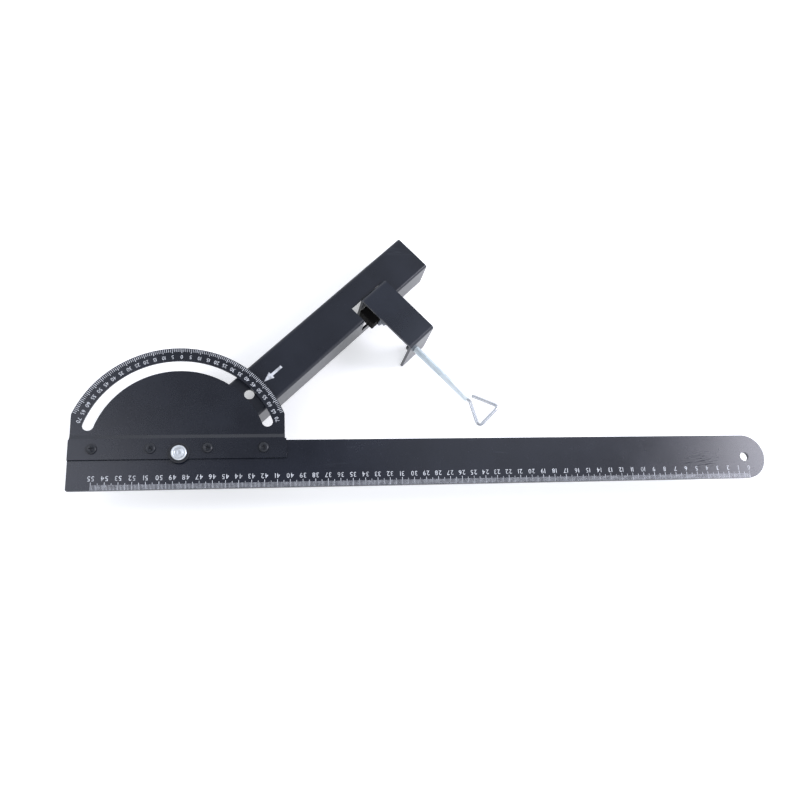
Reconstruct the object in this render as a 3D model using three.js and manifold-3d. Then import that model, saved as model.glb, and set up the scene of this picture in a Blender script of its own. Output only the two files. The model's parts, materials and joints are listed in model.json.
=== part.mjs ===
// Sliding protractor bevel: a flat rule with a half-disc protractor plate on its back edge, a
// channel fence that swivels under the plate about one bolt, and a screw clamp on the fence.
//
// Units are millimetres and +Z is up. The geometry is written about the swivel axis: X runs along
// the rule toward its rounded zero end, Y away from the user, and Z = 0 is the rule's top face.
// The finished group is then moved so that the origin is the bottom centre of the bounding box.

import * as THREE from 'three'
import { mergeVertices } from 'three/addons/utils/BufferGeometryUtils.js'
import Module from 'manifold-3d'

// Clearance between pieces that touch.
const GAP = 0.3
// Overshoot of a cutting tool past the face it opens.
const CUT = 1

// Rule blade.
const RULE_LEFT = -82.4
const RULE_RIGHT = 502.6
const RULE_FRONT = -28
const RULE_BACK = 10.5
const RULE_THICK = 3
const RULE_CORNER_R = 1.5
const HANG_HOLE_R = 4

// Protractor plate: a flange on the rule and a half disc behind the rule, joined by a joggle.
const SHEET = 1.5
const FLANGE_FRONT = -4.4
const FLANGE_UNDER = GAP
const FLANGE_LEFT = -82.4
const FLANGE_RIGHT = 82.9
const JOGGLE_FROM = 11.6
const JOGGLE_TO = 15.4
const DISC_UNDER = -1.5
const DISC_R = 88
const DISC_HALF_WIDTH = 81.8
const SLOT_R = 72.8
const SLOT_WIDTH = 8.6
const SLOT_LEFT_DEG = 71.2
const SLOT_RIGHT_DEG = 69.2

// Plate screws.
const SCREW_X = [-65, -21.6, 21.6, 65]
const SCREW_Y = 4
const SCREW_HEAD_R = 4
const SCREW_HEAD_H = 1.7
const SCREW_SHANK_R = 2
const SCREW_END_Z = -2.8
const PHILLIPS_LONG = 4.4
const PHILLIPS_WIDE = 0.9
const PHILLIPS_DEEP = 0.9

// Swivel bolt with its washers and nut.
const BOLT_R = 4
const BOLT_HEAD_R = 6.1
const BOLT_HEAD_H = 1.7
const BOLT_END_Z = -15.6
const TOP_WASHER_R = 8
const TOP_WASHER_H = 1
const FRICTION_WASHER_R = 10
const LOWER_WASHER_R = 8
const LOWER_WASHER_H = 1.4
const NUT_ACROSS_FLATS = 13
const NUT_H = 6.5

// Fence channel: s runs along the fence from the swivel axis and u across it.
const FENCE_ANGLE_DEG = 43
const FENCE_START = -11
const FENCE_END = 269.8
const FENCE_WIDTH = 36
const FENCE_TOP_Z = -4.2
const FENCE_HEIGHT = 32
const FENCE_WALL = 2
const FENCE_EDGE_R = 2.5
const LOCK_HOLE_S = 73.4
const LOCK_HOLE_R = 4.1
const WINDOW_START = 190
const WINDOW_END = 229.5
const WINDOW_INNER_U = -2.1
const WINDOW_INNER_R = 8
const WINDOW_BOTTOM_Z = -26.6
const WINDOW_CORNER_R = 1.6

// Clamp bracket: one strip bent into an upside-down U.
const BRACKET_START = 200.6
const BRACKET_END = 229.4
const BRACKET_LEG_END = 221
const BRACKET_TOP_Z = -0.1
const BRACKET_BOTTOM_Z = -47
const BRACKET_INNER_U = -2.9
const BRACKET_OUTER_U = -63.4
const BRACKET_THICK = 2.5
const BRACKET_BEND_R = 3

// Clamp screw, with its axis along -u.
const AXIS_S = 211.3
const AXIS_Z = -20.5
const ROD_R = 3.1
const ROD_CORE_R = 2.2
const ROD_TIP_U = -24.4
const ROD_NECK_U = -29.4
const ROD_THREAD_END_U = -96.5
const ROD_END_U = -127.2
const BOSS_R = 6
const BOSS_H = 4

// Wire handle.
const WIRE_R = 1.7
const WIRE_BEND_R = 3.2
const HANDLE_LEFT_S = 199.6
const HANDLE_RIGHT_S = 227.2
const HANDLE_FAR_U = -151.2
const HANDLE_FREE_S = 216.4
const HANDLE_FREE_U = -127.6

// Pressure pad on the screw's end.
const PAD_FACE_U = -6.6
const PAD_BACK_U = -23.2
const PAD_START = 197.7
const PAD_END = 224.9
const PAD_BOTTOM_Z = -26
const PAD_TOP_Z = -14
const PAD_EDGE_R = 1

// Swivel foot behind the pad: a disc with a round socket for the screw's tip.
const FOOT_FACE_U = PAD_BACK_U - GAP
const FOOT_DISC_R = 8
const FOOT_DISC_BACK_U = -25.6
const FOOT_SOCKET_R = 5
const FOOT_BACK_U = -29

const wasm = await Module()
wasm.setup()

function toSolid(geometry) {
  const bare = geometry.clone()
  bare.deleteAttribute('normal')
  bare.deleteAttribute('uv')
  const merged = mergeVertices(bare, 1e-5)
  return new wasm.Manifold(new wasm.Mesh({
    numProp: 3,
    vertProperties: new Float32Array(merged.attributes.position.array),
    triVerts: new Uint32Array(merged.index.array),
  }))
}

function toGeometry(solid) {
  const mesh = solid.getMesh()
  const geometry = new THREE.BufferGeometry()
  geometry.setAttribute('position', new THREE.BufferAttribute(new Float32Array(mesh.vertProperties), 3))
  geometry.setIndex(new THREE.BufferAttribute(new Uint32Array(mesh.triVerts), 1))
  geometry.computeVertexNormals()
  return geometry
}

function cutAway(geometry, tools) {
  let solid = toSolid(geometry)
  for (const tool of tools) {
    solid = solid.subtract(toSolid(tool))
  }
  return toGeometry(solid)
}

// A prism of an XY outline between two heights.
function prismZ(shape, z0, z1, curveSegments = 12) {
  const geometry = new THREE.ExtrudeGeometry(shape, { depth: z1 - z0, bevelEnabled: false, curveSegments })
  geometry.translate(0, 0, z0)
  return geometry
}

// A prism along the first axis of an outline drawn across the other two.
function prismX(shape, x0, x1, curveSegments = 6) {
  const geometry = new THREE.ExtrudeGeometry(shape, { depth: x1 - x0, bevelEnabled: false, curveSegments })
  geometry.applyMatrix4(new THREE.Matrix4().makeBasis(
    new THREE.Vector3(0, 1, 0),
    new THREE.Vector3(0, 0, 1),
    new THREE.Vector3(1, 0, 0),
  ))
  geometry.translate(x0, 0, 0)
  return geometry
}

function polygon(points) {
  return new THREE.Shape(points.map(([x, y]) => new THREE.Vector2(x, y)))
}

function roundedRect(x0, y0, x1, y1, radius) {
  const shape = new THREE.Shape()
  shape.moveTo(x0 + radius, y0)
  shape.lineTo(x1 - radius, y0)
  shape.absarc(x1 - radius, y0 + radius, radius, -Math.PI / 2, 0, false)
  shape.lineTo(x1, y1 - radius)
  shape.absarc(x1 - radius, y1 - radius, radius, 0, Math.PI / 2, false)
  shape.lineTo(x0 + radius, y1)
  shape.absarc(x0 + radius, y1 - radius, radius, Math.PI / 2, Math.PI, false)
  shape.lineTo(x0, y0 + radius)
  shape.absarc(x0 + radius, y0 + radius, radius, Math.PI, 1.5 * Math.PI, false)
  return shape
}

function cylinderZ(x, y, z0, z1, radius, segments = 24) {
  const geometry = new THREE.CylinderGeometry(radius, radius, z1 - z0, segments)
  geometry.rotateX(Math.PI / 2)
  geometry.translate(x, y, (z0 + z1) / 2)
  return geometry
}

// A cylinder along u, the fence's cross direction, in fence coordinates.
function cylinderU(s, z, u0, u1, radius, segments = 24) {
  const geometry = new THREE.CylinderGeometry(radius, radius, Math.abs(u1 - u0), segments)
  geometry.translate(s, (u0 + u1) / 2, z)
  return geometry
}

function latheZ(profile, segments = 32) {
  const geometry = new THREE.LatheGeometry(profile.map(([r, z]) => new THREE.Vector2(r, z)), segments)
  geometry.rotateX(Math.PI / 2)
  return geometry
}

// A washer on the swivel bolt.
function washerGeometry(outer, z0, z1) {
  return cutAway(cylinderZ(0, 0, z0, z1, outer, 36), [
    cylinderZ(0, 0, z0 - CUT, z1 + CUT, BOLT_R + GAP, 24),
  ])
}

function piece(name, geometry, color, roughness, metalness) {
  const material = new THREE.MeshStandardMaterial({ color, roughness, metalness })
  const mesh = new THREE.Mesh(geometry, material)
  mesh.name = name
  return mesh
}

const flangeTop = FLANGE_UNDER + SHEET
const boltTop = flangeTop + GAP + TOP_WASHER_H + GAP

// Rule: square left end, full-round right end with a hanging hole at its centre.
function ruleGeometry() {
  const endR = (RULE_BACK - RULE_FRONT) / 2
  const midY = (RULE_BACK + RULE_FRONT) / 2
  const r = RULE_CORNER_R
  const shape = new THREE.Shape()
  shape.moveTo(RULE_LEFT + r, RULE_FRONT)
  shape.lineTo(RULE_RIGHT - endR, RULE_FRONT)
  shape.absarc(RULE_RIGHT - endR, midY, endR, -Math.PI / 2, Math.PI / 2, false)
  shape.lineTo(RULE_LEFT + r, RULE_BACK)
  shape.absarc(RULE_LEFT + r, RULE_BACK - r, r, Math.PI / 2, Math.PI, false)
  shape.lineTo(RULE_LEFT, RULE_FRONT + r)
  shape.absarc(RULE_LEFT + r, RULE_FRONT + r, r, Math.PI, 1.5 * Math.PI, false)
  const holes = SCREW_X.map((x) => (
    cylinderZ(x, SCREW_Y, -RULE_THICK - CUT, CUT, SCREW_SHANK_R + GAP, 16)
  ))
  holes.push(cylinderZ(0, 0, -RULE_THICK - CUT, CUT, BOLT_R + GAP, 24))
  holes.push(cylinderZ(RULE_RIGHT - endR, midY, -RULE_THICK - CUT, CUT, HANG_HOLE_R, 28))
  return cutAway(prismZ(shape, -RULE_THICK, 0, 24), holes)
}

// Protractor plate: the outline seen from above, cut to the joggled sheet section.
function plateGeometry() {
  const cornerY = Math.sqrt(DISC_R ** 2 - DISC_HALF_WIDTH ** 2)
  const cornerAngle = Math.atan2(cornerY, DISC_HALF_WIDTH)
  const outline = new THREE.Shape()
  outline.moveTo(FLANGE_LEFT, FLANGE_FRONT)
  outline.lineTo(FLANGE_RIGHT, FLANGE_FRONT)
  outline.lineTo(FLANGE_RIGHT, JOGGLE_FROM)
  outline.lineTo(DISC_HALF_WIDTH, JOGGLE_FROM)
  outline.lineTo(DISC_HALF_WIDTH, cornerY)
  outline.absarc(0, 0, DISC_R, cornerAngle, Math.PI - cornerAngle, false)
  outline.lineTo(-DISC_HALF_WIDTH, JOGGLE_FROM)
  outline.lineTo(FLANGE_LEFT, JOGGLE_FROM)
  const section = polygon([
    [FLANGE_FRONT - CUT, FLANGE_UNDER],
    [JOGGLE_FROM, FLANGE_UNDER],
    [JOGGLE_TO - 0.6, DISC_UNDER],
    [DISC_R + CUT, DISC_UNDER],
    [DISC_R + CUT, DISC_UNDER + SHEET],
    [JOGGLE_TO, DISC_UNDER + SHEET],
    [JOGGLE_FROM + 0.6, flangeTop],
    [FLANGE_FRONT - CUT, flangeTop],
  ])
  const sheet = toSolid(prismZ(outline, -10, 10, 56))
    .intersect(toSolid(prismX(section, FLANGE_LEFT - CUT, FLANGE_RIGHT + CUT)))

  const start = THREE.MathUtils.degToRad(90 - SLOT_RIGHT_DEG)
  const end = THREE.MathUtils.degToRad(90 + SLOT_LEFT_DEG)
  const half = SLOT_WIDTH / 2
  const slot = new THREE.Shape()
  slot.absarc(0, 0, SLOT_R + half, start, end, false)
  slot.absarc(SLOT_R * Math.cos(end), SLOT_R * Math.sin(end), half, end, end + Math.PI, false)
  slot.absarc(0, 0, SLOT_R - half, end, start, true)
  const startX = SLOT_R * Math.cos(start)
  const startY = SLOT_R * Math.sin(start)
  slot.absarc(startX, startY, half, start + Math.PI, start + 2 * Math.PI, false)

  const tools = SCREW_X.map((x) => cylinderZ(x, SCREW_Y, -CUT, flangeTop + CUT, SCREW_SHANK_R + GAP, 16))
  tools.push(cylinderZ(0, 0, -CUT, flangeTop + CUT, BOLT_R + GAP, 24))
  tools.push(prismZ(slot, -5, 5, 40))
  return cutAway(toGeometry(sheet), tools)
}

// Pan-head plate screw with a cross recess.
function plateScrewGeometry(x, turnDeg) {
  const seat = flangeTop + GAP
  const profile = [
    [0, SCREW_END_Z],
    [SCREW_SHANK_R, SCREW_END_Z],
    [SCREW_SHANK_R, seat],
    [SCREW_HEAD_R, seat],
    [SCREW_HEAD_R, seat + 0.5 * SCREW_HEAD_H],
    [0.8 * SCREW_HEAD_R, seat + 0.85 * SCREW_HEAD_H],
    [0.45 * SCREW_HEAD_R, seat + SCREW_HEAD_H],
    [0, seat + SCREW_HEAD_H],
  ]
  const recessZ = seat + SCREW_HEAD_H - PHILLIPS_DEEP / 2 + CUT / 2
  const long = new THREE.BoxGeometry(PHILLIPS_LONG, PHILLIPS_WIDE, PHILLIPS_DEEP + CUT)
  const across = new THREE.BoxGeometry(PHILLIPS_WIDE, PHILLIPS_LONG, PHILLIPS_DEEP + CUT)
  long.translate(0, 0, recessZ)
  across.translate(0, 0, recessZ)
  const geometry = cutAway(latheZ(profile, 24), [long, across])
  geometry.rotateZ(THREE.MathUtils.degToRad(turnDeg))
  geometry.translate(x, SCREW_Y, 0)
  return geometry
}

// Swivel bolt: low domed head above the washer, plain shank down through the fence and nut.
function boltGeometry() {
  return latheZ([
    [0, BOLT_END_Z],
    [BOLT_R - 0.6, BOLT_END_Z],
    [BOLT_R, BOLT_END_Z + 0.6],
    [BOLT_R, boltTop],
    [BOLT_HEAD_R, boltTop],
    [BOLT_HEAD_R, boltTop + 0.6 * BOLT_HEAD_H],
    [0.84 * BOLT_HEAD_R, boltTop + 0.92 * BOLT_HEAD_H],
    [0.6 * BOLT_HEAD_R, boltTop + BOLT_HEAD_H],
    [0, boltTop + BOLT_HEAD_H],
  ], 32)
}

function nutGeometry(z0, z1) {
  const corner = NUT_ACROSS_FLATS / Math.sqrt(3)
  const points = []
  for (let i = 0; i < 6; i += 1) {
    points.push([corner * Math.cos(i * Math.PI / 3), corner * Math.sin(i * Math.PI / 3)])
  }
  return cutAway(prismZ(polygon(points), z0, z1), [cylinderZ(0, 0, z0 - CUT, z1 + CUT, BOLT_R + GAP, 24)])
}

// Fence: open-bottom channel with the swivel hole, the lock-bolt hole and the clamp window.
function fenceGeometry() {
  const half = FENCE_WIDTH / 2
  const bottom = FENCE_TOP_Z - FENCE_HEIGHT
  const r = FENCE_EDGE_R
  const section = new THREE.Shape()
  section.moveTo(-half, bottom)
  section.lineTo(-half + FENCE_WALL, bottom)
  section.lineTo(-half + FENCE_WALL, FENCE_TOP_Z - FENCE_WALL)
  section.lineTo(half - FENCE_WALL, FENCE_TOP_Z - FENCE_WALL)
  section.lineTo(half - FENCE_WALL, bottom)
  section.lineTo(half, bottom)
  section.lineTo(half, FENCE_TOP_Z - r)
  section.absarc(half - r, FENCE_TOP_Z - r, r, 0, Math.PI / 2, false)
  section.lineTo(-half + r, FENCE_TOP_Z)
  section.absarc(-half + r, FENCE_TOP_Z - r, r, Math.PI / 2, Math.PI, false)
  const cornerCut = new THREE.Shape()
  const c = WINDOW_CORNER_R
  cornerCut.moveTo(WINDOW_START, WINDOW_BOTTOM_Z + c)
  cornerCut.absarc(WINDOW_START + c, WINDOW_BOTTOM_Z + c, c, Math.PI, 1.5 * Math.PI, false)
  cornerCut.lineTo(WINDOW_END - c, WINDOW_BOTTOM_Z)
  cornerCut.absarc(WINDOW_END - c, WINDOW_BOTTOM_Z + c, c, 1.5 * Math.PI, 2 * Math.PI, false)
  cornerCut.lineTo(WINDOW_END, FENCE_TOP_Z + CUT)
  cornerCut.lineTo(WINDOW_START, FENCE_TOP_Z + CUT)
  // The notch is drawn on the side wall and pushed in from outside as far as the channel's inside.
  const notch = new THREE.ExtrudeGeometry(cornerCut, {
    depth: FENCE_WALL + FENCE_EDGE_R + CUT,
    bevelEnabled: false,
    curveSegments: 6,
  })
  notch.rotateX(Math.PI / 2)
  notch.translate(0, -half + FENCE_WALL + FENCE_EDGE_R, 0)
  const topOnly = FENCE_TOP_Z - FENCE_WALL - CUT
  // The slot in the top wall runs on from the notch, with a large radius at its far inner corner.
  const ri = WINDOW_INNER_R
  const topSlot = new THREE.Shape()
  topSlot.moveTo(WINDOW_START, -half - CUT)
  topSlot.lineTo(WINDOW_END, -half - CUT)
  topSlot.lineTo(WINDOW_END, WINDOW_INNER_U - ri)
  topSlot.absarc(WINDOW_END - ri, WINDOW_INNER_U - ri, ri, 0, Math.PI / 2, false)
  topSlot.lineTo(WINDOW_START, WINDOW_INNER_U)
  return cutAway(prismX(section, FENCE_START, FENCE_END), [
    cylinderZ(0, 0, topOnly, FENCE_TOP_Z + CUT, BOLT_R + GAP, 24),
    cylinderZ(LOCK_HOLE_S, 0, topOnly, FENCE_TOP_Z + CUT, LOCK_HOLE_R, 24),
    notch,
    prismZ(topSlot, topOnly, FENCE_TOP_Z + CUT, 8),
  ])
}

// Clamp bracket: constant-thickness strip with rounded outer and inner bends.
function bracketGeometry() {
  const ro = BRACKET_BEND_R
  const ri = BRACKET_BEND_R - BRACKET_THICK
  const innerIn = BRACKET_INNER_U - BRACKET_THICK
  const outerIn = BRACKET_OUTER_U + BRACKET_THICK
  const under = BRACKET_TOP_Z - BRACKET_THICK
  const strip = new THREE.Shape()
  strip.moveTo(BRACKET_OUTER_U, BRACKET_BOTTOM_Z)
  strip.lineTo(outerIn, BRACKET_BOTTOM_Z)
  strip.lineTo(outerIn, under - ri)
  strip.absarc(outerIn + ri, under - ri, ri, Math.PI, Math.PI / 2, true)
  strip.lineTo(innerIn - ri, under)
  strip.absarc(innerIn - ri, under - ri, ri, Math.PI / 2, 0, true)
  strip.lineTo(innerIn, BRACKET_BOTTOM_Z)
  strip.lineTo(BRACKET_INNER_U, BRACKET_BOTTOM_Z)
  strip.lineTo(BRACKET_INNER_U, BRACKET_TOP_Z - ro)
  strip.absarc(BRACKET_INNER_U - ro, BRACKET_TOP_Z - ro, ro, 0, Math.PI / 2, false)
  strip.lineTo(BRACKET_OUTER_U + ro, BRACKET_TOP_Z)
  strip.absarc(BRACKET_OUTER_U + ro, BRACKET_TOP_Z - ro, ro, Math.PI / 2, Math.PI, false)
  // The inner leg is narrower than the strip: its far side is cut away below the bend.
  const reliefLong = BRACKET_END + CUT - BRACKET_LEG_END
  const reliefWide = 2 * BRACKET_THICK + CUT
  const reliefTall = BRACKET_TOP_Z - ro - BRACKET_BOTTOM_Z + CUT
  const relief = new THREE.BoxGeometry(reliefLong, reliefWide, reliefTall)
  relief.translate(
    BRACKET_LEG_END + reliefLong / 2,
    BRACKET_INNER_U - BRACKET_THICK / 2,
    BRACKET_TOP_Z - ro - reliefTall / 2,
  )
  return cutAway(prismX(strip, BRACKET_START, BRACKET_END), [
    cylinderU(AXIS_S, AXIS_Z, BRACKET_OUTER_U - CUT, outerIn + CUT, ROD_R + GAP),
    relief,
  ])
}

// Threaded boss on the inside of the outer leg.
function bossGeometry() {
  const u0 = BRACKET_OUTER_U + BRACKET_THICK + GAP
  const u1 = u0 + BOSS_H
  return cutAway(cylinderU(AXIS_S, AXIS_Z, u0, u1, BOSS_R, 30), [
    cylinderU(AXIS_S, AXIS_Z, u0 - CUT, u1 + CUT, ROD_R + GAP),
  ])
}

// Clamp screw: necked tip in the pad's socket, thread, then a plain shank.
function screwGeometry() {
  const profile = [
    [0, ROD_TIP_U],
    [ROD_CORE_R - 0.5, ROD_TIP_U],
    [ROD_CORE_R, ROD_TIP_U - 0.5],
    [ROD_CORE_R, ROD_NECK_U],
    [ROD_R, ROD_NECK_U - 0.7],
    [ROD_R, ROD_THREAD_END_U],
    [ROD_R - 0.35, ROD_THREAD_END_U - 0.35],
    [ROD_R - 0.35, ROD_END_U + 0.4],
    [ROD_R - 0.75, ROD_END_U],
    [0, ROD_END_U],
  ]
  const geometry = new THREE.LatheGeometry(
    profile.slice().reverse().map(([r, u]) => new THREE.Vector2(r, u)),
    24,
  )
  geometry.translate(AXIS_S, 0, AXIS_Z)
  return geometry
}

// Wire handle: a triangle bent from round wire, starting at the end of the screw.
function handleGeometry() {
  const corners = [
    new THREE.Vector2(AXIS_S, ROD_END_U - GAP),
    new THREE.Vector2(AXIS_S, ROD_END_U - 3),
    new THREE.Vector2(HANDLE_LEFT_S, HANDLE_FAR_U),
    new THREE.Vector2(HANDLE_RIGHT_S, HANDLE_FAR_U),
    new THREE.Vector2(HANDLE_FREE_S, HANDLE_FREE_U),
  ]
  const path = new THREE.CurvePath()
  const at = (p) => new THREE.Vector3(p.x, p.y, AXIS_Z)
  const bends = [0, 1.6, WIRE_BEND_R, WIRE_BEND_R, 0]
  let from = corners[0]
  for (let i = 1; i < corners.length - 1; i += 1) {
    const before = corners[i].clone().sub(corners[i - 1]).normalize()
    const after = corners[i + 1].clone().sub(corners[i]).normalize()
    const turn = Math.acos(THREE.MathUtils.clamp(before.dot(after), -1, 1))
    const back = bends[i] * Math.tan(turn / 2)
    const enter = corners[i].clone().addScaledVector(before, -back)
    const leave = corners[i].clone().addScaledVector(after, back)
    path.add(new THREE.LineCurve3(at(from), at(enter)))
    path.add(new THREE.QuadraticBezierCurve3(at(enter), at(corners[i]), at(leave)))
    from = leave
  }
  path.add(new THREE.LineCurve3(at(from), at(corners[corners.length - 1])))
  const section = new THREE.Shape()
  section.absarc(0, 0, WIRE_R, 0, 2 * Math.PI, false)
  return new THREE.ExtrudeGeometry(section, {
    steps: 60,
    curveSegments: 6,
    bevelEnabled: false,
    extrudePath: path,
  })
}

// Pressure pad: a rounded block.
function padGeometry() {
  const block = new THREE.ExtrudeGeometry(
    roundedRect(PAD_START, PAD_BOTTOM_Z, PAD_END, PAD_TOP_Z, PAD_EDGE_R),
    { depth: PAD_FACE_U - PAD_BACK_U, bevelEnabled: false, curveSegments: 5 },
  )
  block.rotateX(Math.PI / 2)
  block.translate(0, PAD_FACE_U, 0)
  return block
}

// Swivel foot: turned disc and hub with a blind bore open toward the screw.
function footGeometry() {
  const bore = ROD_CORE_R + GAP
  const profile = [
    [0, ROD_TIP_U + GAP],
    [bore, ROD_TIP_U + GAP],
    [bore, FOOT_BACK_U],
    [FOOT_SOCKET_R - 0.6, FOOT_BACK_U],
    [FOOT_SOCKET_R, FOOT_BACK_U + 0.6],
    [FOOT_SOCKET_R, FOOT_DISC_BACK_U],
    [FOOT_DISC_R - 0.5, FOOT_DISC_BACK_U],
    [FOOT_DISC_R, FOOT_DISC_BACK_U + 0.5],
    [FOOT_DISC_R, FOOT_FACE_U],
    [0, FOOT_FACE_U],
  ]
  const geometry = new THREE.LatheGeometry(profile.map(([r, u]) => new THREE.Vector2(r, u)), 32)
  geometry.translate(AXIS_S, 0, AXIS_Z)
  return geometry
}

const BLACK = 0x2c2f39
const ZINC = 0xcdd5da
const STEEL = 0xb4bec8

const rule = new THREE.Group()
rule.add(piece('rule_blade', ruleGeometry(), BLACK, 0.42, 0.35))
rule.add(piece('protractor_plate', plateGeometry(), BLACK, 0.42, 0.35))
const screwTurns = [12, 38, 71, 25]
SCREW_X.forEach((x, i) => {
  rule.add(piece(`plate_screw_${i + 1}`, plateScrewGeometry(x, screwTurns[i]), 0x1d1f25, 0.35, 0.5))
})
rule.add(piece('pivot_bolt', boltGeometry(), ZINC, 0.25, 0.9))
const topWasher = washerGeometry(TOP_WASHER_R, flangeTop + GAP, flangeTop + GAP + TOP_WASHER_H)
const frictionWasher = washerGeometry(FRICTION_WASHER_R, FENCE_TOP_Z + GAP, -RULE_THICK - GAP)
const washerTop = FENCE_TOP_Z - FENCE_WALL - GAP
const lowerWasher = washerGeometry(LOWER_WASHER_R, washerTop - LOWER_WASHER_H, washerTop)
rule.add(piece('pivot_top_washer', topWasher, 0x17191e, 0.6, 0.1))
rule.add(piece('friction_washer', frictionWasher, 0x15161a, 0.7, 0))
rule.add(piece('pivot_lower_washer', lowerWasher, ZINC, 0.3, 0.9))
const nutTop = washerTop - LOWER_WASHER_H - GAP
rule.add(piece('pivot_lock_nut', nutGeometry(nutTop - NUT_H, nutTop), ZINC, 0.3, 0.9))

const clamp = new THREE.Group()
clamp.add(piece('clamp_bracket', bracketGeometry(), BLACK, 0.4, 0.35))
clamp.add(piece('clamp_boss', bossGeometry(), BLACK, 0.4, 0.4))
clamp.add(piece('clamp_screw', screwGeometry(), STEEL, 0.3, 0.9))
clamp.add(piece('screw_handle', handleGeometry(), ZINC, 0.25, 0.9))
clamp.add(piece('swivel_foot', footGeometry(), STEEL, 0.35, 0.9))
clamp.add(piece('swivel_pad', padGeometry(), 0x1a1a1a, 0.7, 0))

const fence = new THREE.Group()
fence.add(piece('fence_arm', fenceGeometry(), BLACK, 0.4, 0.35))
fence.add(clamp)
fence.rotation.z = THREE.MathUtils.degToRad(FENCE_ANGLE_DEG)

const model = new THREE.Group()
model.add(rule)
model.add(fence)
model.updateMatrixWorld(true)
const box = new THREE.Box3().setFromObject(model, true)
const middle = box.getCenter(new THREE.Vector3())
model.position.set(-middle.x, -middle.y, -box.min.z)

const group = new THREE.Group()
group.add(model)

export default group
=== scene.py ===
import json
import math

import bmesh
import bpy
from mathutils import Matrix, Vector


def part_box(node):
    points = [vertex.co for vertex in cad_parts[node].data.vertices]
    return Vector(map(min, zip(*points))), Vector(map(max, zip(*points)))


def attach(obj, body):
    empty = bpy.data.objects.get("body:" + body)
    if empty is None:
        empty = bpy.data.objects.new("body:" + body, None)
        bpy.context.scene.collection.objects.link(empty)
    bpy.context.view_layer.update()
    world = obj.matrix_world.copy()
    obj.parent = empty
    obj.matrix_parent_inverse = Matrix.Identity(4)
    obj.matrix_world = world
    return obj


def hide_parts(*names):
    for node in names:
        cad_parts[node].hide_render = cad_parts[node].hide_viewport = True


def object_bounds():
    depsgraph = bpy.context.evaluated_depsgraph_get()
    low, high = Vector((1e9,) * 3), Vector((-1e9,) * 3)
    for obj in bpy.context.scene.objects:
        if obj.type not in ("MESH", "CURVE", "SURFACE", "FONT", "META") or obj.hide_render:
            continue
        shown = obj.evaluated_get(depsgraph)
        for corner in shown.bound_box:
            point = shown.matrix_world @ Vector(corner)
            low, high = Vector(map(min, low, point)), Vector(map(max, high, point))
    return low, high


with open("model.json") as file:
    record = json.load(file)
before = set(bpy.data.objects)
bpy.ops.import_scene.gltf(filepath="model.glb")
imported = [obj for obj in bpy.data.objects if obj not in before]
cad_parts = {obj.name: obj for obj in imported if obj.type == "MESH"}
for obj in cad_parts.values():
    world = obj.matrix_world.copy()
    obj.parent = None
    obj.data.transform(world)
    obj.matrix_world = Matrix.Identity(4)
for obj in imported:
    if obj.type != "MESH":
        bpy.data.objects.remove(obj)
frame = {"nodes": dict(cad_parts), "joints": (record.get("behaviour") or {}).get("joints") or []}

CAD_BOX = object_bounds()
MM = 0.001
UP = Vector((0, 0, 1))
LEFT = Vector((-1, 0, 0))
DOWN = Vector((0, -1, 0))
BLACK = (0, 0, 0)
WHITE = (1, 1, 1)


# ---------------------------------------------------------------- frames of reference
def joint(name):
    return next(j for j in frame["joints"] if j["name"] == name)


def middle(node):
    low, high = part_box(node)
    return (low + high) / 2


RULE_LOW, RULE_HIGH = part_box("rule_blade")
PIVOT = Vector((middle("pivot_bolt").x, middle("pivot_bolt").y, RULE_HIGH.z))
FENCE_ALONG = Vector(joint("clamp_slide")["axis"]).normalized()
FENCE_ACROSS = Vector((-FENCE_ALONG.y, FENCE_ALONG.x, 0.0))


def at(x, y, z):
    """A point given in mm from the swivel axis at the rule's top face, in the row frame."""
    return PIVOT + Vector((x, y, z)) * MM


def on_fence(along, across, z):
    """A point given in mm along and across the fence, from the same origin."""
    return PIVOT + (FENCE_ALONG * along + FENCE_ACROSS * across + Vector((0, 0, z))) * MM


def heights(node):
    """The lowest and highest point of a CAD node, in mm from the rule's top face."""
    low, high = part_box(node)
    return (low.z - PIVOT.z) / MM, (high.z - PIVOT.z) / MM


# ---------------------------------------------------------------- shader helpers
def material(name):
    m = bpy.data.materials.new(name)
    m.use_nodes = True
    nt = m.node_tree
    bsdf = nt.nodes["Principled BSDF"]
    coord = nt.nodes.new("ShaderNodeTexCoord")
    return m, nt, bsdf, coord


def noise(nt, coord, scale, detail=3.0, rough=0.55, stretch=None):
    out = coord.outputs["Object"]
    if stretch:
        mapping = nt.nodes.new("ShaderNodeMapping")
        mapping.inputs["Scale"].default_value = stretch
        nt.links.new(out, mapping.inputs["Vector"])
        out = mapping.outputs["Vector"]
    n = nt.nodes.new("ShaderNodeTexNoise")
    n.inputs["Scale"].default_value = scale
    n.inputs["Detail"].default_value = detail
    n.inputs["Roughness"].default_value = rough
    nt.links.new(out, n.inputs["Vector"])
    return n.outputs["Fac"]


def ramp(nt, fac, stops):
    """A colour ramp through stops, each (position, colour)."""
    r = nt.nodes.new("ShaderNodeValToRGB")
    r.color_ramp.elements[0].position = stops[0][0]
    r.color_ramp.elements[0].color = (*stops[0][1], 1)
    r.color_ramp.elements[1].position = stops[-1][0]
    r.color_ramp.elements[1].color = (*stops[-1][1], 1)
    for position, color in stops[1:-1]:
        element = r.color_ramp.elements.new(position)
        element.color = (*color, 1)
    nt.links.new(fac, r.inputs["Fac"])
    return r.outputs["Color"]


def lay_over(nt, fac, base, tint):
    """The base colour with a plain tint over it where fac is high."""
    m = nt.nodes.new("ShaderNodeMix")
    m.data_type = "RGBA"
    nt.links.new(fac, m.inputs[0])
    nt.links.new(base, m.inputs[6])
    m.inputs[7].default_value = (*tint, 1)
    return m.outputs[2]


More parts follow.
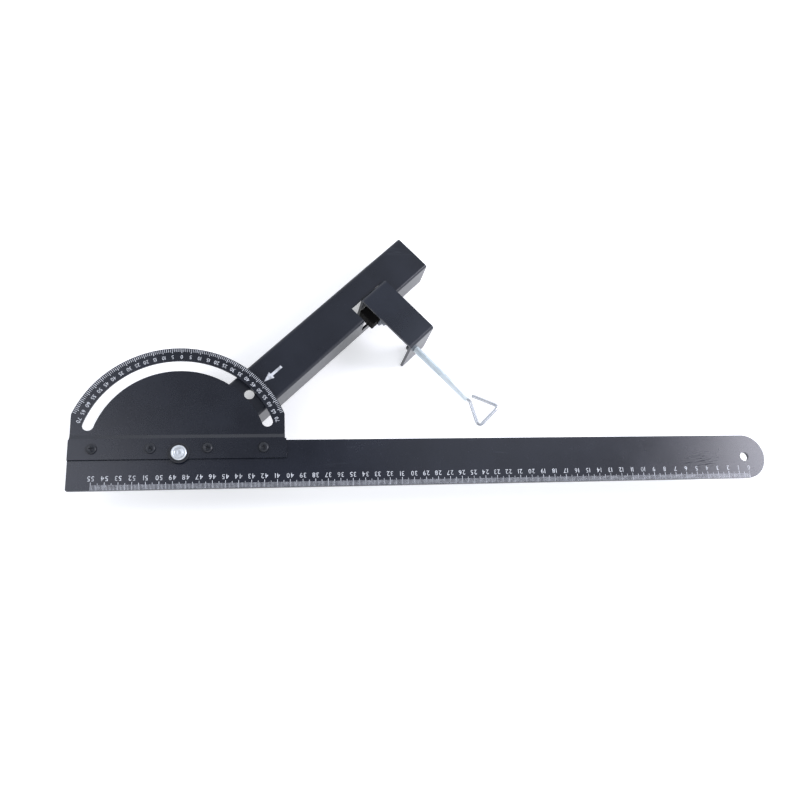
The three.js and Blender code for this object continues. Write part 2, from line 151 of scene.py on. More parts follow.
def maths(nt, op, a, b):
    m = nt.nodes.new("ShaderNodeMath")
    m.operation = op
    for socket, value in ((m.inputs[0], a), (m.inputs[1], b)):
        if isinstance(value, (int, float)):
            socket.default_value = value
        else:
            nt.links.new(value, socket)
    return m.outputs[0]


def bump(nt, bsdf, height, strength, distance):
    b = nt.nodes.new("ShaderNodeBump")
    b.inputs["Strength"].default_value = strength
    b.inputs["Distance"].default_value = distance
    nt.links.new(height, b.inputs["Height"])
    nt.links.new(b.outputs["Normal"], bsdf.inputs["Normal"])


def placed(nt, coord, centre, turn, scale):
    """Object coordinates moved to a centre, turned about Z and then scaled."""
    away = nt.nodes.new("ShaderNodeVectorMath")
    away.operation = "SUBTRACT"
    nt.links.new(coord.outputs["Object"], away.inputs[0])
    away.inputs[1].default_value = centre
    spin = nt.nodes.new("ShaderNodeVectorRotate")
    spin.rotation_type = "Z_AXIS"
    spin.inputs["Angle"].default_value = turn
    nt.links.new(away.outputs[0], spin.inputs["Vector"])
    size = nt.nodes.new("ShaderNodeVectorMath")
    size.operation = "MULTIPLY"
    nt.links.new(spin.outputs[0], size.inputs[0])
    size.inputs[1].default_value = scale
    return size.outputs[0]


def scuff_patch(nt, coord, centre, turn, reach):
    """A mask of fine parallel scratches inside an oval patch."""
    along, across = 70.0, 900.0
    lines = nt.nodes.new("ShaderNodeTexNoise")
    lines.inputs["Scale"].default_value = 1.0
    lines.inputs["Detail"].default_value = 2.0
    nt.links.new(placed(nt, coord, centre, turn, (along, across, 1.0)), lines.inputs["Vector"])
    marks = ramp(nt, lines.outputs["Fac"], [(0.55, BLACK), (0.60, WHITE)])
    far = nt.nodes.new("ShaderNodeVectorMath")
    far.operation = "LENGTH"
    nt.links.new(placed(nt, coord, centre, turn, (1 / reach[0], 1 / reach[1], 0.0)), far.inputs[0])
    inside = ramp(nt, far.outputs["Value"], [(0.55, WHITE), (1.0, BLACK)])
    return maths(nt, "MULTIPLY", marks, inside)


# ---------------------------------------------------------------- materials
def black_paint(name, tint, rough, scuff=None):
    """Satin black paint: faint orange-peel, cloudy gloss, dust specks and hair scratches.

    scuff is the centre, turn and reach of a worn patch."""
    m, nt, bsdf, coord = material(name)
    cloud = noise(nt, coord, scale=22.0, detail=4.0, rough=0.6)
    fine = noise(nt, coord, scale=900.0, detail=2.0, rough=0.5)
    lighter = tuple(c * 1.45 + 0.002 for c in tint)
    base = ramp(nt, cloud, [(0.3, tint), (0.7, lighter)])

    dust = noise(nt, coord, scale=520.0, detail=1.0, rough=0.5)
    specks = ramp(nt, dust, [(0.70, BLACK), (0.76, WHITE)])
    base = lay_over(nt, maths(nt, "MULTIPLY", specks, 0.05), base, (0.12, 0.13, 0.16))

    hair = noise(nt, coord, scale=130.0, detail=2.0, rough=0.6, stretch=(0.14, 1.0, 1.0))
    mask = ramp(nt, hair, [(0.66, BLACK), (0.70, WHITE), (0.74, BLACK)])
    where = ramp(nt, noise(nt, coord, scale=9.0, detail=2.0), [(0.52, BLACK), (0.66, WHITE)])
    scratch = maths(nt, "MULTIPLY", mask, where)
    base = lay_over(nt, maths(nt, "MULTIPLY", scratch, 0.12), base, (0.10, 0.11, 0.13))

    gloss = maths(nt, "ADD", maths(nt, "MULTIPLY", cloud, 0.08), rough - 0.04)
    gloss = maths(nt, "ADD", gloss, maths(nt, "MULTIPLY", fine, 0.03))
    if scuff:
        worn = scuff_patch(nt, coord, *scuff)
        gloss = maths(nt, "ADD", gloss, maths(nt, "MULTIPLY", worn, 0.6))
        base = lay_over(nt, maths(nt, "MULTIPLY", worn, 0.5), base, (0.035, 0.037, 0.045))
    nt.links.new(base, bsdf.inputs["Base Color"])
    nt.links.new(gloss, bsdf.inputs["Roughness"])
    bsdf.inputs["Specular IOR Level"].default_value = 0.5

    ripple = maths(nt, "MULTIPLY", noise(nt, coord, scale=190.0, detail=2.0), 0.6)
    peel = maths(nt, "ADD", noise(nt, coord, scale=1400.0, detail=2.0), ripple)
    bump(nt, bsdf, peel, strength=0.06, distance=0.0001)
    return m


def zinc(name, tint, rough):
    """Bright zinc plate: bluish, slightly crystalline, with a patchy gloss."""
    m, nt, bsdf, coord = material(name)
    cloud = noise(nt, coord, scale=160.0, detail=4.0, rough=0.6)
    cool = (tint[0] * 0.86, tint[1] * 0.90, tint[2] * 0.94)
    nt.links.new(ramp(nt, cloud, [(0.3, cool), (0.7, tint)]), bsdf.inputs["Base Color"])
    bsdf.inputs["Metallic"].default_value = 0.92
    patches = maths(nt, "MULTIPLY", noise(nt, coord, scale=420.0), 0.16)
    nt.links.new(maths(nt, "ADD", patches, rough - 0.08), bsdf.inputs["Roughness"])
    bump(nt, bsdf, noise(nt, coord, scale=700.0), strength=0.12, distance=0.00008)
    return m


def matt_black(name, tint, rough, grain=600.0, shine=0.5):
    """Matt black plastic, rubber or oxide: a clouded tone and a fine grain."""
    m, nt, bsdf, coord = material(name)
    cloud = noise(nt, coord, scale=70.0)
    lighter = tuple(c * 1.8 + 0.002 for c in tint)
    nt.links.new(ramp(nt, cloud, [(0.35, tint), (0.75, lighter)]), bsdf.inputs["Base Color"])
    gloss = maths(nt, "ADD", maths(nt, "MULTIPLY", cloud, 0.16), rough - 0.08)
    nt.links.new(gloss, bsdf.inputs["Roughness"])
    bsdf.inputs["Specular IOR Level"].default_value = shine
    bump(nt, bsdf, noise(nt, coord, scale=grain), strength=0.2, distance=0.00015)
    return m


def white_print(name, tint, wear):
    """Printed white, a little uneven; wear is how bright its worn places stay."""
    m, nt, bsdf, coord = material(name)
    patch = noise(nt, coord, scale=260.0, rough=0.6)
    dull = tuple(c * wear for c in tint)
    nt.links.new(ramp(nt, patch, [(0.34, dull), (0.56, tint)]), bsdf.inputs["Base Color"])
    bsdf.inputs["Roughness"].default_value = 0.55
    bump(nt, bsdf, noise(nt, coord, scale=1500.0, detail=2.0), strength=0.1, distance=0.00005)
    return m


# a worn patch near the rule's zero end: its centre, turn and reach in metres
SCUFF = (at(440, -12, 0), math.radians(-11), (0.019, 0.0085))
PAINT_RULE = black_paint("satin_black_rule", (0.0058, 0.0076, 0.0142), 0.24, SCUFF)
PAINT_PLATE = black_paint("satin_black_plate", (0.0050, 0.0066, 0.0122), 0.26)
PAINT_FENCE = black_paint("satin_black_fence", (0.0056, 0.0074, 0.0135), 0.27)
PAINT_CLAMP = black_paint("satin_black_clamp", (0.0076, 0.0102, 0.0180), 0.27)
BLACK_OXIDE = matt_black("black_oxide", (0.0042, 0.0056, 0.0100), 0.36, grain=900.0)
PLASTIC = matt_black("black_plastic", (0.0055, 0.0065, 0.0095), 0.42)
RUBBER = matt_black("black_rubber", (0.0030, 0.0026, 0.0025), 0.7, grain=420.0, shine=0.12)
ZINC_HEAD = zinc("zinc_bolt", (0.66, 0.68, 0.70), 0.34)
ZINC_HARD = zinc("zinc_hardware", (0.60, 0.64, 0.68), 0.38)
ZINC_ROD = zinc("zinc_screw", (0.66, 0.71, 0.73), 0.50)
# the foot is the same zinc as the other hardware at a third of its brightness: painted shade for its place
# under the clamp, behind the pad
FOOT_ZINC_PAINTED_SHADE = zinc("foot_zinc_painted_shade", (0.20, 0.21, 0.23), 0.5)
ZINC_WIRE = zinc("zinc_wire", (0.58, 0.59, 0.61), 0.24)
PRINT = white_print("white_print", (0.60, 0.62, 0.66), 0.5)
PRINT_SOFT = white_print("white_print_fine", (0.68, 0.70, 0.75), 0.6)

# ---------------------------------------------------------------- mesh helpers
WELD = 2e-6
FLAT = math.radians(0.6)
# a CAD face with more corners than this is a flat, and not a facet of a bend
FACET_CORNERS = 6


def new_object(name, mesh, mat, body):
    o = bpy.data.objects.new(name, mesh)
    bpy.context.scene.collection.objects.link(o)
    mesh.materials.clear()
    mesh.materials.append(mat)
    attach(o, body)
    return o


def stand_in(node, mesh, mat, body):
    """A piece that is shown in a CAD node's place."""
    o = new_object(node + "_fine", mesh, mat, body)
    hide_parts(node)


def finish_mesh(bm, name, sharp_deg=35.0):
    """Closes a bmesh, smooth but for the edges that turn by more than sharp_deg."""
    mesh = bpy.data.meshes.new(name)
    bmesh.ops.recalc_face_normals(bm, faces=bm.faces)
    for f in bm.faces:
        f.smooth = True
    limit = math.radians(sharp_deg)
    for e in bm.edges:
        if len(e.link_faces) == 2:
            e.smooth = e.calc_face_angle(0.0) < limit
    bm.to_mesh(mesh)
    bm.free()
    return mesh


def baked(o):
    """The object's mesh with its modifiers applied."""
    bpy.context.view_layer.update()
    return bpy.data.meshes.new_from_object(o.evaluated_get(bpy.context.evaluated_depsgraph_get()))


def square_up_flats(mesh):
    """Gives the corners of every flat the face's own normal."""
    normals = [corner.vector.copy() for corner in mesh.corner_normals]
    for face in mesh.polygons:
        if len(face.vertices) > FACET_CORNERS:
            for i in face.loop_indices:
                normals[i] = face.normal.copy()
    mesh.normals_split_custom_set(normals)


def refine(node, mat, body, ease, segments=2, sharp_deg=40.0, many_holes=False):
    """The CAD node's own shape with its flats merged and every hard edge eased by ease mm.

    A flat with many holes is split again into even triangles, so no seam runs past a hole."""
    bm = bmesh.new()
    bm.from_mesh(frame["nodes"][node].data)
    bmesh.ops.remove_doubles(bm, verts=bm.verts, dist=WELD)
    bmesh.ops.dissolve_limit(bm, angle_limit=FLAT, verts=bm.verts, edges=bm.edges)
    if many_holes:
        bmesh.ops.triangulate(bm, faces=bm.faces, ngon_method="BEAUTY")
        flat = [e for e in bm.edges if e.calc_face_angle(1.0) < FLAT]
        bmesh.ops.beautify_fill(bm, faces=bm.faces, edges=flat)
    o = new_object(node + "_fine", finish_mesh(bm, node + "_fine", sharp_deg), mat, body)
    bevel = o.modifiers.new("ease", "BEVEL")
    bevel.width = ease * MM
    bevel.segments = segments
    bevel.limit_method = "ANGLE"
    bevel.angle_limit = math.radians(sharp_deg)
    bevel.use_clamp_overlap = True
    bevel.harden_normals = True
    o.data = baked(o)
    o.modifiers.clear()
    square_up_flats(o.data)
    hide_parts(node)


def circle(centre, side, other, radius, sides):
    """Points round a centre, in the plane of two unit vectors; radius in mm."""
    angles = [2 * math.pi * i / sides for i in range(sides)]
    return [centre + (side * math.cos(a) + other * math.sin(a)) * radius * MM for a in angles]


def skin(bm, rows):
    """Faces from each row of vertices to the next. A row may be one vertex, on the axis."""
    sides = max(len(row) for row in rows)
    for a, b in zip(rows, rows[1:]):
        for i in range(sides):
            j = (i + 1) % sides
            quad = [a[i % len(a)], a[j % len(a)], b[j % len(b)], b[i % len(b)]]
            face = list(dict.fromkeys(quad))
            if len(face) >= 3:
                bm.faces.new(face)


def capped_skin(bm, rows):
    """The same, with the first and last rows closed by flat faces."""
    bm.faces.new(rows[0][::-1])
    bm.faces.new(rows[-1])
    skin(bm, rows)


def turned(node, profile, centre, axis, sides, mat, body):
    """A turned piece in a CAD node's place: profile is half its section, (radius, height) in mm."""
    side = axis.orthogonal().normalized()
    other = axis.cross(side)
    bm = bmesh.new()
    rows = []
    for radius, height in profile:
        point = centre + axis * height * MM
        on_axis = radius < 1e-6
        ring = [point] if on_axis else circle(point, side, other, radius, sides)
        rows.append([bm.verts.new(p) for p in ring])
    skin(bm, rows)
    stand_in(node, finish_mesh(bm, node + "_fine"), mat, body)


def bend(start, corner, end, steps):
    """Points of the smooth curve that takes a corner's place."""
    ts = [k / steps for k in range(steps + 1)]
    return [start * (1 - t) ** 2 + corner * 2 * t * (1 - t) + end * t * t for t in ts]


def rounded(profile, radius, steps=3):
    """The profile with its inner corners eased. A curve takes at most 0.45 of a side."""
    out = [profile[0]]
    for a, b, c in zip(profile, profile[1:], profile[2:]):
        corner = Vector(b)
        back, on = Vector(a) - corner, Vector(c) - corner
        reach = min(radius, 0.45 * back.length, 0.45 * on.length)
        start = corner + back.normalized() * reach
        end = corner + on.normalized() * reach
        out += [(max(p.x, 0.0), p.y) for p in bend(start, corner, end, steps)]
    out.append(profile[-1])
    return out


# ---------------------------------------------------------------- figures and marks
def figure_shapes():
    """Each digit's flat triangles, with its width and height, from the built-in plain face."""
    shapes = {}
    for digit in "0123456789":
        curve = bpy.data.curves.new("figure", "FONT")
        curve.body = digit
        curve.size = 1.0
        curve.resolution_u = 3
        o = bpy.data.objects.new("figure", curve)
        bpy.context.scene.collection.objects.link(o)
        mesh = baked(o)
        xs = [v.co.x for v in mesh.vertices]
        ys = [v.co.y for v in mesh.vertices]
        points = [(x - min(xs), y - min(ys)) for x, y in zip(xs, ys)]
        faces = [tuple(p.vertices) for p in mesh.polygons]
        shapes[digit] = (points, faces, max(xs) - min(xs), max(ys) - min(ys))
        bpy.data.objects.remove(o)
        bpy.data.curves.remove(curve)
        bpy.data.meshes.remove(mesh)
    return shapes


FIGURES = figure_shapes()
TALL = FIGURES["0"][3]
# figures are a little narrow, and printed twice so that the strokes look bolder, with one print
# lifted off the other by a small share of the distance between them
SQUEEZE = 0.92
BOLD_LIFT = 0.02


def add_polygon(bm, points, faces):
    """Adds flat faces, skipping one that is there already."""
    verts = [bm.verts.new(p) for p in points]
    for f in faces:
        try:
            bm.faces.new([verts[i] for i in f])
        except ValueError:
            pass


def add_number(bm, text, centre, right, up, height, gap, bold):
    """Writes a number centred on a point, reading along right with its top toward up.

    gap is a share of the height. The two prints lie bold mm to each side."""
    k = height / TALL
    widths = [FIGURES[digit][2] * k * SQUEEZE for digit in text]
    x = -(sum(widths) + gap * height * (len(text) - 1)) / 2
    for digit, width in zip(text, widths):
        points, faces, _, _ = FIGURES[digit]
        for shift in (-bold, bold):
            corner = right * (x + shift) - up * height / 2 + UP * shift * BOLD_LIFT
            add_polygon(bm, [centre + (corner + right * px * k * SQUEEZE + up * py * k) * MM
                             for px, py in points], faces)
        x += width + gap * height


def add_bar(bm, a, b, width):
    """A thin printed line from a to b."""
    d = (b - a).normalized()
    n = Vector((-d.y, d.x, 0)) * width * MM / 2
    add_polygon(bm, [a - n, b - n, b + n, a + n], [(0, 1, 2, 3)])


def marks_object(name, bm, mat, body):
    """Printed marks, all facing up."""
    mesh = bpy.data.meshes.new(name)
    bm.normal_update()
    for f in bm.faces:
        if f.normal.z < 0:
            f.normal_flip()
    bm.to_mesh(mesh)
    bm.free()
    o = new_object(name, mesh, mat, body)


# ---------------------------------------------------------------- rule
refine("rule_blade", PAINT_RULE, "rule", ease=0.28)

RULE_FRONT_Y = (RULE_LOW.y - PIVOT.y) / MM
ZERO_X = (RULE_HIGH.x - PIVOT.x) / MM - 17.0
PRINT_Z = 0.02
LAST_MARK = 550
TICK_START = 0.3
# for each kind of tick: every how many mm, where it ends and its width
TICKS = ((10, 6.4, 0.36), (5, 5.6, 0.32), (1, 4.3, 0.24))
FIGURE_ROW = 9.3


def rule_ticks():
    bm = bmesh.new()
    for i in range(LAST_MARK + 1):
        _, end, width = next(tick for tick in TICKS if i % tick[0] == 0)
        x = ZERO_X - i
        start = at(x, RULE_FRONT_Y + TICK_START, PRINT_Z)
        add_bar(bm, start, at(x, RULE_FRONT_Y + end, PRINT_Z), width)
    marks_object("rule_ticks", bm, PRINT_SOFT, "rule")


def rule_figures():
    bm = bmesh.new()
    for n in range(LAST_MARK // 10 + 1):
        centre = at(ZERO_X - 10 * n, RULE_FRONT_Y + FIGURE_ROW, PRINT_Z)
        add_number(bm, str(n), centre, LEFT, DOWN, height=3.9, gap=0.24, bold=0.035)
    marks_object("rule_figures", bm, PRINT, "rule")


rule_ticks()
rule_figures()

# ---------------------------------------------------------------- protractor plate
refine("protractor_plate", PAINT_PLATE, "rule", ease=0.28, sharp_deg=22.0,
       many_holes=True)

DISC_R = 88.0
# past this distance from the middle the disc's sides are cut straight, and have no ticks
DISC_HALF_WIDTH = 81.2
DEGREE_TICK_END = 87.6
FIVE_DEGREE_TICK = (83.9, 0.42)
DEGREE_TICK = (84.9, 0.36)
DEGREE_FIGURE_R = 80.5


def outward(degrees):
    a = math.radians(degrees)
    return Vector((math.cos(a), math.sin(a), 0))


def degree_ticks():
    bm = bmesh.new()
    centre = at(0, 0, PRINT_Z)
    for d in range(19, 162):
        out = outward(d)
        if abs(DISC_R * out.x) > DISC_HALF_WIDTH:
            continue
        start, width = FIVE_DEGREE_TICK if d % 5 == 0 else DEGREE_TICK
        add_bar(bm, centre + out * start * MM, centre + out * DEGREE_TICK_END * MM, width)
    marks_object("degree_ticks", bm, PRINT_SOFT, "rule")


def degree_figures():
    """Angles from the square position, each with its top toward the centre."""
    bm = bmesh.new()
    for d in range(20, 161, 5):
        out = outward(d)
        right = Vector((-out.y, out.x, 0))
        centre = at(0, 0, PRINT_Z) + out * DEGREE_FIGURE_R * MM
        add_number(bm, str(abs(d - 90)), centre, right, -out, height=3.1, gap=0.14, bold=0.03)
    marks_object("degree_figures", bm, PRINT, "rule")


degree_ticks()
degree_figures()

# ---------------------------------------------------------------- fence
refine("fence_arm", PAINT_FENCE, "fence", ease=0.3, sharp_deg=50.0)


def fence_arrow():
    """The arrow printed on the fence's top, pointing at the degree scale."""
    tip, neck, tail = 89.7, 98.2, 109.2
    barb, shaft = 3.3, 1.15
    z = heights("fence_arm")[1] + PRINT_Z
    outline = [(tip, 0), (neck, -barb), (neck, -shaft), (tail, -shaft), (tail, shaft), (neck, shaft),
               (neck, barb)]
    bm = bmesh.new()
    add_polygon(bm, [on_fence(s, u, z) for s, u in outline], [tuple(range(len(outline)))])
    marks_object("fence_arrow", bm, PRINT, "fence")


fence_arrow()

# ---------------------------------------------------------------- swivel bolt, washers and nut
CLEARANCE = 0.3
WASHER_BORE = 4.3
BOLT_SIDES = 72


def pivot_bolt():
    """A button head with a rim and a shallow dish in it, on a plain shank."""
    bottom, top = heights("pivot_bolt")
    seat = heights("pivot_top_washer")[1] + CLEARANCE
    shank, chamfer, head, rim = 4.0, 0.6, 6.1, 3.9
    profile = [(0, bottom), (shank - chamfer, bottom), (shank, bottom + chamfer), (shank, seat),
               (head - 0.05, seat), (head, seat + 0.5), (head - 0.35, seat + 1.15),
               (rim + 1.0, top - 0.12), (rim, top), (rim - 0.6, top - 0.12), (rim - 1.0, top - 0.34),
               (1.6, top - 0.38), (0.9, top - 0.3), (0, top - 0.28)]
    turned("pivot_bolt", rounded(profile, 0.3), PIVOT, UP, BOLT_SIDES, ZINC_HEAD, "rule")


def washer(node, ease, mat):
    """A washer with its outer edges eased by ease mm and its bore's top edge by less."""
    low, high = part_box(node)
    r = (high.x - low.x) / 2 / MM
    bottom, top = heights(node)
    bore_ease = ease * 0.4
    profile = [(WASHER_BORE, bottom), (r - ease, bottom), (r, bottom + ease), (r, top - ease),
               (r - ease, top), (WASHER_BORE + bore_ease, top), (WASHER_BORE, top - bore_ease),
               (WASHER_BORE, bottom)]
    turned(node, profile, PIVOT, UP, BOLT_SIDES, mat, "rule")


pivot_bolt()
washer("pivot_top_washer", 0.28, PLASTIC)
washer("friction_washer", 0.12, PLASTIC)
washer("pivot_lower_washer", 0.25, ZINC_HARD)
refine("pivot_lock_nut", ZINC_HARD, "rule", ease=0.45, segments=3, sharp_deg=35.0)

# ---------------------------------------------------------------- plate screws
SCREW_SIDES = 48
SCREW_HEAD = 1.7
# the cross recess: how far an arm reaches, half its width and how far any edge may be
ARM_REACH, ARM_HALF, RECESS_R = 2.15, 0.46, 2.2


def recess_edge(angle):
    """Distance in mm from the axis to the recess's edge, at an angle from one of its arms."""
    off_arm = angle % (math.pi / 2)
    off_arm = min(off_arm, math.pi / 2 - off_arm)
    end = ARM_REACH / math.cos(off_arm)
    side = ARM_HALF / max(math.sin(off_arm), 1e-6)
    return min(end, side, RECESS_R)


def plate_screw(node, turn_deg):
    """A domed head with a real cross recess, turned by turn_deg, on a plain stem."""
    centre = Vector((middle(node).x, middle(node).y, PIVOT.z))
    bottom, top = heights(node)
    seat = top - SCREW_HEAD
    turn = math.radians(turn_deg)
    angles = [2 * math.pi * (i + 0.5) / SCREW_SIDES for i in range(SCREW_SIDES)]
    bm = bmesh.new()

    def row(radii, z):
        spots = [Vector((r * math.cos(a + turn), r * math.sin(a + turn), z)) for a, r in zip(angles, radii)]
        return [bm.verts.new(centre + spot * MM) for spot in spots]

    def point(z):
        return [bm.verts.new(centre + UP * z * MM)]

    outline = [(1.6, bottom), (2.0, bottom + 0.4), (2.0, seat), (3.98, seat), (4.0, seat + 0.5),
               (3.86, seat + 0.95), (3.4, seat + 1.32), (2.8, top - 0.13), (2.3, top - 0.03)]
    rim = [recess_edge(a) for a in angles]
    rows = [point(bottom)]
    rows += [row([r] * SCREW_SIDES, z) for r, z in outline]
    rows += [row(rim, top), row([r * 0.62 for r in rim], top - 0.85), point(top - 1.1)]
    skin(bm, rows)
    stand_in(node, finish_mesh(bm, node + "_fine", 40.0), BLACK_OXIDE, "rule")


for number, turn_deg in ((1, 12), (2, 38), (3, 71), (4, 25)):
    plate_screw(f"plate_screw_{number}", turn_deg)

# ---------------------------------------------------------------- clamp
refine("clamp_bracket", PAINT_CLAMP, "clamp", ease=0.35, segments=3)

# distances along the screw's axis count from the fence's centre line, away from the fence
AXIS = Vector(joint("screw_turn")["axis"]).normalized()
ON_AXIS = Vector(joint("screw_turn")["pos_m"])
ON_AXIS = ON_AXIS + AXIS * (PIVOT - ON_AXIS).dot(AXIS)
CLAMP_SIDES = 64


def along_axis(node):
    """The nearest and farthest point of a CAD node along the screw's axis, in mm."""
    distances = [(v.co - ON_AXIS).dot(AXIS) / MM for v in frame["nodes"][node].data.vertices]
    return min(distances), max(distances)


def clamp_boss():
    near, far = along_axis("clamp_boss")
    bore, outside = 3.4, 6.0
    profile = [(bore, near + 0.5), (bore + 0.5, near), (outside - 0.5, near), (outside, near + 0.8),
               (outside, far), (bore, far), (bore, near + 0.5)]
    turned("clamp_boss", rounded(profile, 0.25, 2), ON_AXIS, AXIS, CLAMP_SIDES, PAINT_CLAMP, "clamp")


def swivel_foot():
    """A disc behind the pad, with a collar that holds the screw's tip in a blind socket."""
    near, far = along_axis("swivel_foot")
    disc, collar, socket = 8.0, 5.0, 2.5
    web = near + 0.6
    profile = [(0, near), (disc - 0.4, near), (disc, near + 0.4), (disc, near + 1.7),
               (disc - 0.5, near + 2.1), (collar + 0.3, near + 2.25), (collar, near + 2.6),
               (collar, far - 0.6), (collar - 0.6, far), (socket, far), (socket, web), (0, web)]
    turned("swivel_foot", rounded(profile, 0.2, 2), ON_AXIS, AXIS, CLAMP_SIDES, FOOT_ZINC_PAINTED_SHADE, "pad")


clamp_boss()
swivel_foot()
refine("swivel_pad", RUBBER, "pad", ease=0.9, segments=3, sharp_deg=35.0)

# ---------------------------------------------------------------- clamp screw
SCREW_TIP, SCREW_BACK = along_axis("clamp_screw")
NECK_R, NECK_LENGTH = 2.2, 5.7
ROOT_R, CREST_R, PITCH = 2.75, 3.1, 1.0
SHANK_R = 2.88
THREAD_END = 96.5


def screw_mesh():
    """A necked tip, a thread whose rows climb one pitch in a turn, and a plain shank."""
    sides = 40
    other = AXIS.cross(UP)
    bm = bmesh.new()

    def row(radius, distance, climb=0.0):
        ring = circle(ON_AXIS + AXIS * distance * MM, UP, other, radius, sides)
        return [bm.verts.new(p + AXIS * climb * i / sides * MM) for i, p in enumerate(ring)]

    start = SCREW_TIP + NECK_LENGTH
    turns = int((THREAD_END - start) / PITCH)
    end = start + turns * PITCH
    flank = (ROOT_R + CREST_R) / 2
    wave = [ROOT_R, flank, CREST_R, CREST_R, flank]
    rows = [row(1.7, SCREW_TIP), row(NECK_R, SCREW_TIP + 0.5), row(NECK_R, start - 0.7)]
    rows.append(row(2.7, start - 0.1))
    for step in range(turns * len(wave)):
        rows.append(row(wave[step % len(wave)], start + step / len(wave) * PITCH, climb=PITCH))
    rows.append(row(2.8, end + 1.15))
    rows += [row(SHANK_R, end + 1.5), row(SHANK_R, SCREW_BACK - 0.5)]
    rows += [row(2.35, SCREW_BACK - 0.15), row(2.0, SCREW_BACK)]
    capped_skin(bm, rows)
    return finish_mesh(bm, "clamp_screw_fine", 60.0)


stand_in("clamp_screw", screw_mesh(), ZINC_ROD, "screw")

# ---------------------------------------------------------------- handle
WIRE_R = 1.68
# corners are given along and across the fence, and bends by the radius of the wire's centre line
LOOP_CORNERS = ((199.6, -151.2), (227.2, -151.2))
LOOP_END = (216.4, -127.6)
STEM_LENGTH = 3.0
STEM_BEND, LOOP_BEND = 1.8, 3.4


def wire_path():
    """The handle's centre line: a short stem and then the three sides of an open loop."""
    screw_at = (ON_AXIS - PIVOT).dot(FENCE_ALONG) / MM
    z = (ON_AXIS.z - PIVOT.z) / MM
    stem = [(screw_at, -SCREW_BACK - 0.05), (screw_at, -SCREW_BACK - STEM_LENGTH)]
    corners = [Vector(c) for c in (*stem, *LOOP_CORNERS, LOOP_END)]
    points = [corners[0]]
    for a, b, c, radius in zip(corners, corners[1:], corners[2:], (STEM_BEND, LOOP_BEND, LOOP_BEND)):
        to, on = (b - a).normalized(), (c - b).normalized()
        back = radius * math.tan(to.angle(on) / 2)
        points += bend(b - to * back, b, b + on * back, 9)
    points.append(corners[-1])
    return [on_fence(p.x, p.y, z) for p in points]


def wire_mesh(name, path, radius, step=1.2, sides=24):
    """A round wire along the path with domed ends; radius and step in mm."""
    dense = []
    for a, b in zip(path, path[1:]):
        count = max(1, int((b - a).length / (step * MM)))
        dense += [a.lerp(b, k / count) for k in range(count)]
    dense.append(path[-1])
    # each ring is a shift along the wire in mm and a share of the radius
    plain = [(0.0, 1.0)]
    first_dome = [(0.0, 0.55), (0.25, 0.92)]
    last_dome = [(-0.75, 1.0), (-0.3, 0.86), (0.0, 0.5)]
    bm = bmesh.new()
    rows = []
    last = len(dense) - 1
    for i, p in enumerate(dense):
        d = (dense[min(i + 1, last)] - dense[max(i - 1, 0)]).normalized()
        side = UP.cross(d).normalized()
        rings = {0: first_dome, last: last_dome}.get(i, plain)
        for shift, share in rings:
            ring = circle(p + d * shift * MM, side, d.cross(side), radius * share, sides)
            rows.append([bm.verts.new(q) for q in ring])
    capped_skin(bm, rows)
    return finish_mesh(bm, name, 50.0)


HANDLE = wire_mesh("screw_handle_fine", wire_path(), WIRE_R)
stand_in("screw_handle", HANDLE, ZINC_WIRE, "screw")

# ---------------------------------------------------------------- studio
FLOOR_HALF = 6.0
FLOOR_GAP = 0.2 * MM
FLOOR_GLOW = 0.34


def floor():
    """A pale floor that glows a little, so that it burns out to white as in the photo."""
    mesh = bpy.data.meshes.new("floor")
    r = FLOOR_HALF
    mesh.from_pydata([(-r, -r, 0), (r, -r, 0), (r, r, 0), (-r, r, 0)], [], [(0, 1, 2, 3)])
    o = bpy.data.objects.new("floor", mesh)
    bpy.context.scene.collection.objects.link(o)
    m, nt, bsdf, coord = material("pale_floor")
    tone = ramp(nt, noise(nt, coord, scale=3.0), [(0.3, (0.90, 0.90, 0.905)), (0.7, (0.93, 0.93, 0.935))])
    nt.links.new(tone, bsdf.inputs["Base Color"])
    bsdf.inputs["Roughness"].default_value = 0.9
    bsdf.inputs["Specular IOR Level"].default_value = 0.1
    bsdf.inputs["Emission Color"].default_value = (*WHITE, 1)
    bsdf.inputs["Emission Strength"].default_value = FLOOR_GLOW
    mesh.materials.append(m)
    o.location = (PIVOT.x, PIVOT.y, CAD_BOX[0][2] - FLOOR_GAP)


def area(name, place, target, size, power, color):
    light = bpy.data.lights.new(name, "AREA")
    light.shape = "RECTANGLE"
    light.size, light.size_y = size
    light.energy = power
    light.color = color
    o = bpy.data.objects.new(name, light)
    bpy.context.scene.collection.objects.link(o)
    o.location = place
    o.rotation_euler = (Vector(target) - Vector(place)).to_track_quat("-Z", "Y").to_euler()


def softbox(name, spot, tilt, size, radiance, color, distance=1.3):
    """A light that a camera above the tool sees mirrored in the flat top at a spot.

    tilt is how far, in degrees, the mirrored ray leans toward +X and +Y."""
    lean = Vector((math.tan(math.radians(tilt[0])), math.tan(math.radians(tilt[1])), 1)).normalized()
    power = radiance * math.pi * size[0] * size[1]
    area(name, spot + lean * distance, spot, size, power, color)


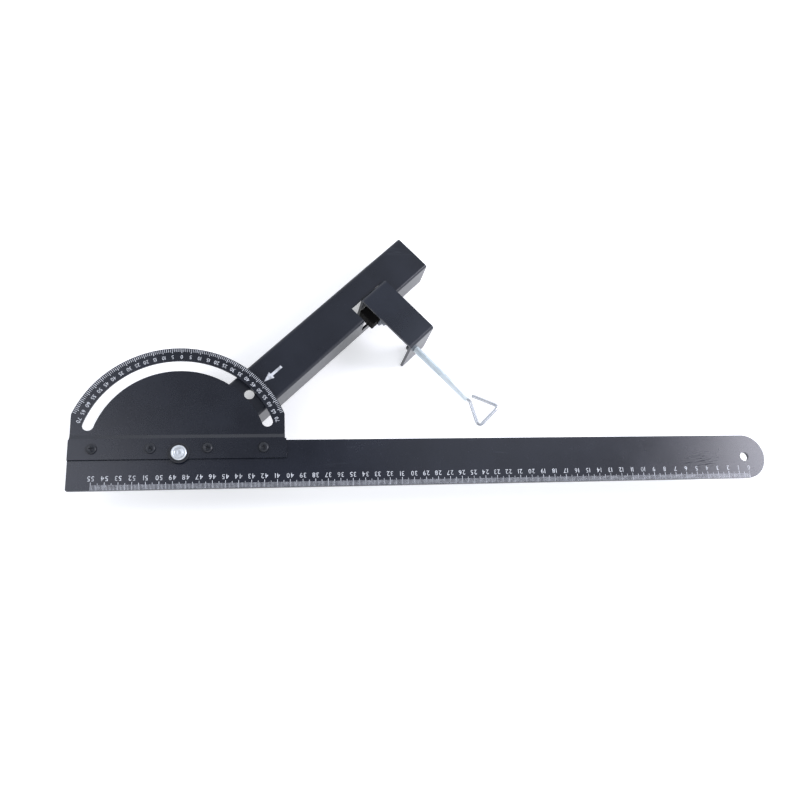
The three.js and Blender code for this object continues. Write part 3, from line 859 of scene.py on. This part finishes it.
floor()
softbox("right_softbox", at(490, -9, 0), (45.1, 13.2), (0.43, 0.52), 18.0, (0.90, 0.89, 1.0))
softbox("middle_softbox", at(280, 40, 0), (17.0, 17.5), (0.42, 0.64), 0.95, (0.86, 0.90, 1.0))
softbox("left_softbox", at(-60, -9, 0), (-21.5, 13.2), (0.42, 0.70), 2.9, (0.88, 0.90, 1.0))
area("front_softbox", at(420, -1150, 900), at(150, 20, 0), (1.2, 0.7), 2.5, (0.98, 0.98, 1.0))

SKY = 1.25
SKY_TINT = (0.91, 0.94, 1.0)
# the room is bright all round and dim overhead: (elevation in degrees, brightness)
SKY_PROFILE = ((0, 1.25), (30, 1.25), (45, 1.15), (52, 0.92), (58, 0.7), (65, 0.42), (72, 0.26), (90, 0.24))


def studio_sky():
    world = bpy.data.worlds.new("studio")
    bpy.context.scene.world = world
    world.use_nodes = True
    nt = world.node_tree
    background = nt.nodes["Background"]
    coord = nt.nodes.new("ShaderNodeTexCoord")
    split = nt.nodes.new("ShaderNodeSeparateXYZ")
    nt.links.new(coord.outputs["Generated"], split.inputs["Vector"])
    stops = [(math.sin(math.radians(elevation)), tuple(brightness / SKY * c for c in SKY_TINT))
             for elevation, brightness in SKY_PROFILE]
    nt.links.new(ramp(nt, split.outputs["Z"], stops), background.inputs["Color"])
    background.inputs["Strength"].default_value = SKY


studio_sky()

# ---------------------------------------------------------------- camera
EYE = at(57.0, -156.8, 629.9)
AIM = at(177.3, 43.8, 0.0)
ROLL = math.radians(-3.316)


def camera():
    """Looks from EYE to AIM, rolled about its own line of sight."""
    data = bpy.data.cameras.new("camera")
    data.sensor_width = 36.0
    data.lens = 36.24
    data.clip_start = 0.01
    data.clip_end = 50.0
    cam = bpy.data.objects.new("camera", data)
    bpy.context.scene.collection.objects.link(cam)
    forward = (AIM - EYE).normalized()
    level = forward.cross(Vector((0, 1, 0))).normalized()
    upright = level.cross(forward)
    right = level * math.cos(ROLL) + upright * math.sin(ROLL)
    up = upright * math.cos(ROLL) - level * math.sin(ROLL)
    cam.matrix_world = Matrix((
        (right.x, up.x, -forward.x, EYE.x),
        (right.y, up.y, -forward.y, EYE.y),
        (right.z, up.z, -forward.z, EYE.z),
        (0, 0, 0, 1),
    ))
    bpy.context.scene.camera = cam


camera()
bpy.context.scene.view_settings.view_transform = "Standard"
bpy.context.scene.view_settings.look = "None"
